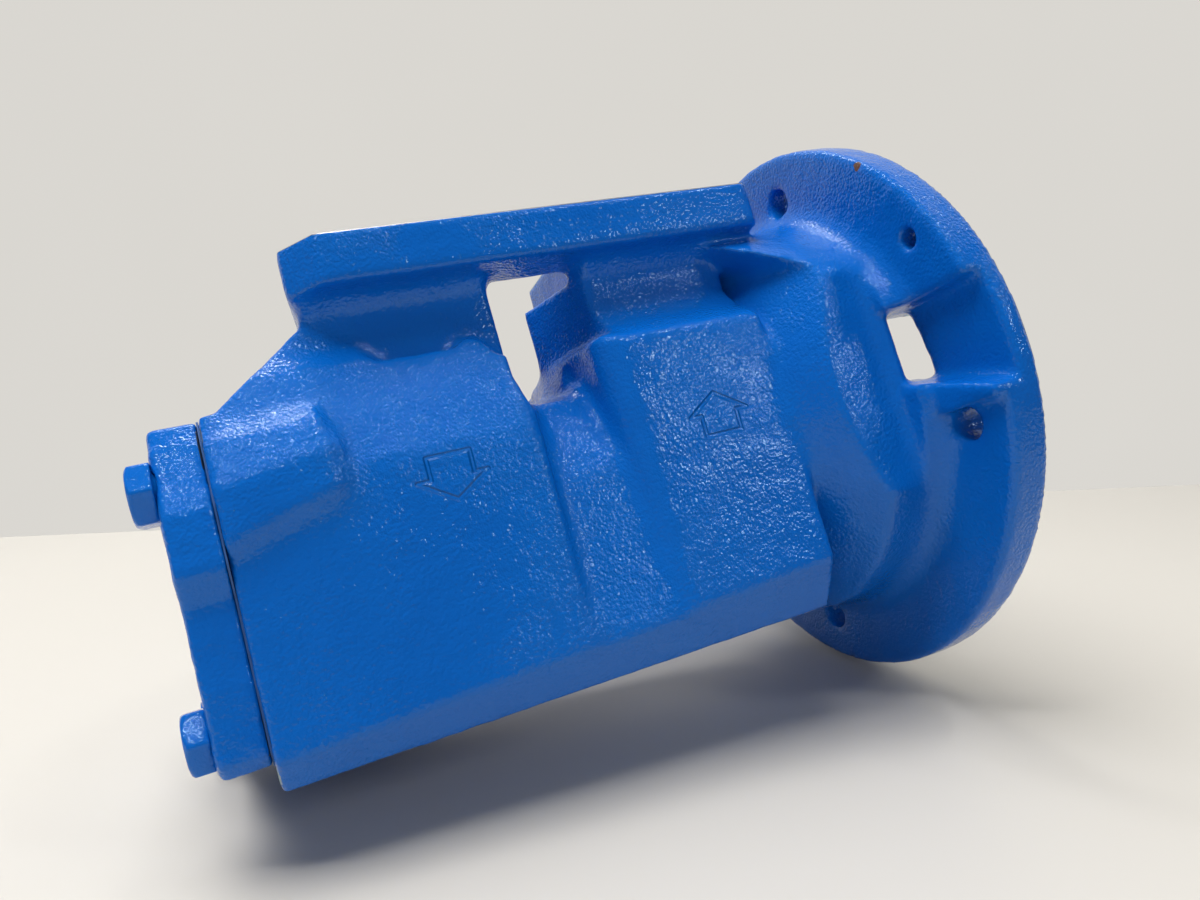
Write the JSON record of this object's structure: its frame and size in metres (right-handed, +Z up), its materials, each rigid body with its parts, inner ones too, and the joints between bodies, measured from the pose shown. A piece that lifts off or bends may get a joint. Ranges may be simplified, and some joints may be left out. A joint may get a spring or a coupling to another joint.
{
  "type": "screw pump",
  "caption": "Flange-mounted screw pump: a block-shaped cast body with a drive lantern, a raised port plate on top, a bolted rear cover and meshing screw rotors inside.",
  "frame": {"origin": "centre of the mounting flange's front face, on the shaft's axis", "axes": "+X out of the mounting face towards the driver, along the shaft; +Z up to the port plate; +Y to the far side in the picture"},
  "size_m": [0.2534, 0.2, 0.2],
  "materials": {
    "blue_enamel": "thick glossy blue enamel over rough sand casting",
    "liner_iron": "machined, oiled",
    "ground_steel": "ground",
    "bearing_steel": "polished",
    "spring_steel": "drawn wire and pressed ring",
    "black_steel": "black oxide",
    "bronze": "turned bronze",
    "brass": "machined",
    "copper": "soft sealing washer",
    "gasket_fibre": "oil-resistant fibre",
    "seal_rubber": "satin",
    "seal_ceramic": "lapped ceramic",
    "seal_carbon": "carbon graphite"
  },
  "bodies": {
    "housing": {"pump_body": "blue_enamel", "rear_cover": "blue_enamel", "rear_cover_bolts": "blue_enamel", "rear_cover_gasket": "gasket_fibre", "front_cover_gasket": "gasket_fibre", "rotor_liner": "liner_iron", "idler_thrust_plate": "liner_iron", "front_cover": "liner_iron", "near_idler_bush": "bronze", "far_idler_bush": "bronze", "balance_bush": "bronze", "bearing_outer_race": "bearing_steel", "front_cover_screws": "black_steel", "seal_seat": "seal_ceramic", "seal_seat_o_ring": "seal_rubber", "relief_valve_plug": "ground_steel", "relief_plug_washer": "copper"},
    "power_shaft": {"power_rotor": "ground_steel", "shaft_key": "ground_steel", "bearing_inner_race": "bearing_steel", "shaft_circlip": "spring_steel", "seal_face_ring": "seal_carbon", "seal_carrier": "ground_steel", "seal_spring": "spring_steel"},
    "near_idler": {"near_idler_rotor": "ground_steel"},
    "far_idler": {"far_idler_rotor": "ground_steel"},
    "ball_cage": {"bearing_cage": "brass", "bearing_balls": "bearing_steel"},
    "relief_piston": {"relief_valve_piston": "ground_steel"},
    "spring_seat": {"relief_spring_plate": "ground_steel", "relief_valve_spring": "spring_steel"},
    "adjusting_screw": {"relief_adjusting_screw": "black_steel"}
  },
  "joints": [
    {"name": "power_rotor_spin", "type": "hinge", "parent": "housing", "child": "power_shaft", "pos_m": [0, 0, 0], "axis": [1, 0, 0], "continuous": true},
    {"name": "near_idler_spin", "type": "hinge", "parent": "housing", "child": "near_idler", "pos_m": [0, -0.0228, 0], "axis": [1, 0, 0], "continuous": true},
    {"name": "far_idler_spin", "type": "hinge", "parent": "housing", "child": "far_idler", "pos_m": [0, 0.0228, 0], "axis": [1, 0, 0], "continuous": true},
    {"name": "ball_cage_spin", "type": "hinge", "parent": "housing", "child": "ball_cage", "pos_m": [0, 0, 0], "axis": [1, 0, 0], "continuous": true},
    {"name": "relief_piston_slide", "type": "slide", "parent": "housing", "child": "relief_piston", "axis": [-1, 0, 0], "range_m": [0, 0.006], "stiffness_N_per_m": 8000, "springref_m": -0.01, "deforming": ["relief_valve_spring"]},
    {"name": "spring_seat_slide", "type": "slide", "parent": "housing", "child": "spring_seat", "axis": [1, 0, 0], "range_m": [-0.00225, 0.00225], "deforming": ["relief_valve_spring"]},
    {"name": "adjusting_screw_turn", "type": "hinge", "parent": "spring_seat", "child": "adjusting_screw", "pos_m": [-0.22, 0, -0.045], "axis": [1, 0, 0], "range_deg": [-540, 540]}
  ],
  "couplings": [
    {"joint": "near_idler_spin", "follows": "power_rotor_spin", "ratio": -1},
    {"joint": "far_idler_spin", "follows": "power_rotor_spin", "ratio": -1},
    {"joint": "ball_cage_spin", "follows": "power_rotor_spin", "ratio": 0.4},
    {"joint": "adjusting_screw_turn", "follows": "spring_seat_slide", "rad_per_m": 4188.8}
  ]
}
